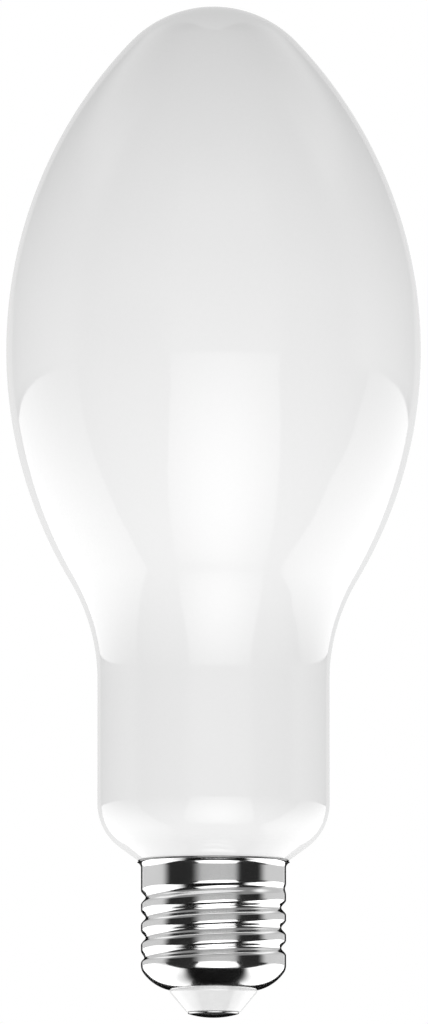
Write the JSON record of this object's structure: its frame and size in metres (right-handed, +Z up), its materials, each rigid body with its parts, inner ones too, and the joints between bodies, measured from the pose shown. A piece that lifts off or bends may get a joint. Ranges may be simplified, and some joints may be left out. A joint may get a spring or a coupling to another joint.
{
  "type": "led lamp bulb",
  "caption": "Opal white elliptical LED lamp with a straight neck and an Edison screw cap, a white cone insulator and a domed centre contact.",
  "frame": {"origin": "on the lamp's axis, on the flat of the centre contact at its lowest level", "axes": "+Z up the lamp's axis from the centre contact to the crown of the bulb; +X is the side where the thread's groove is at its named height"},
  "size_m": [0.0748, 0.0748, 0.1827],
  "materials": {
    "opal_glass": "opal white, glossy",
    "cement": "matt",
    "nickel_plate": "bright nickel plate",
    "insulator": "gloss",
    "contact_metal": "bright"
  },
  "bodies": {
    "root": {"glass_bulb": "opal_glass", "basing_cement": "cement", "screw_shell": "nickel_plate", "cap_insulator": "insulator", "centre_contact": "contact_metal"}
  },
  "joints": []
}
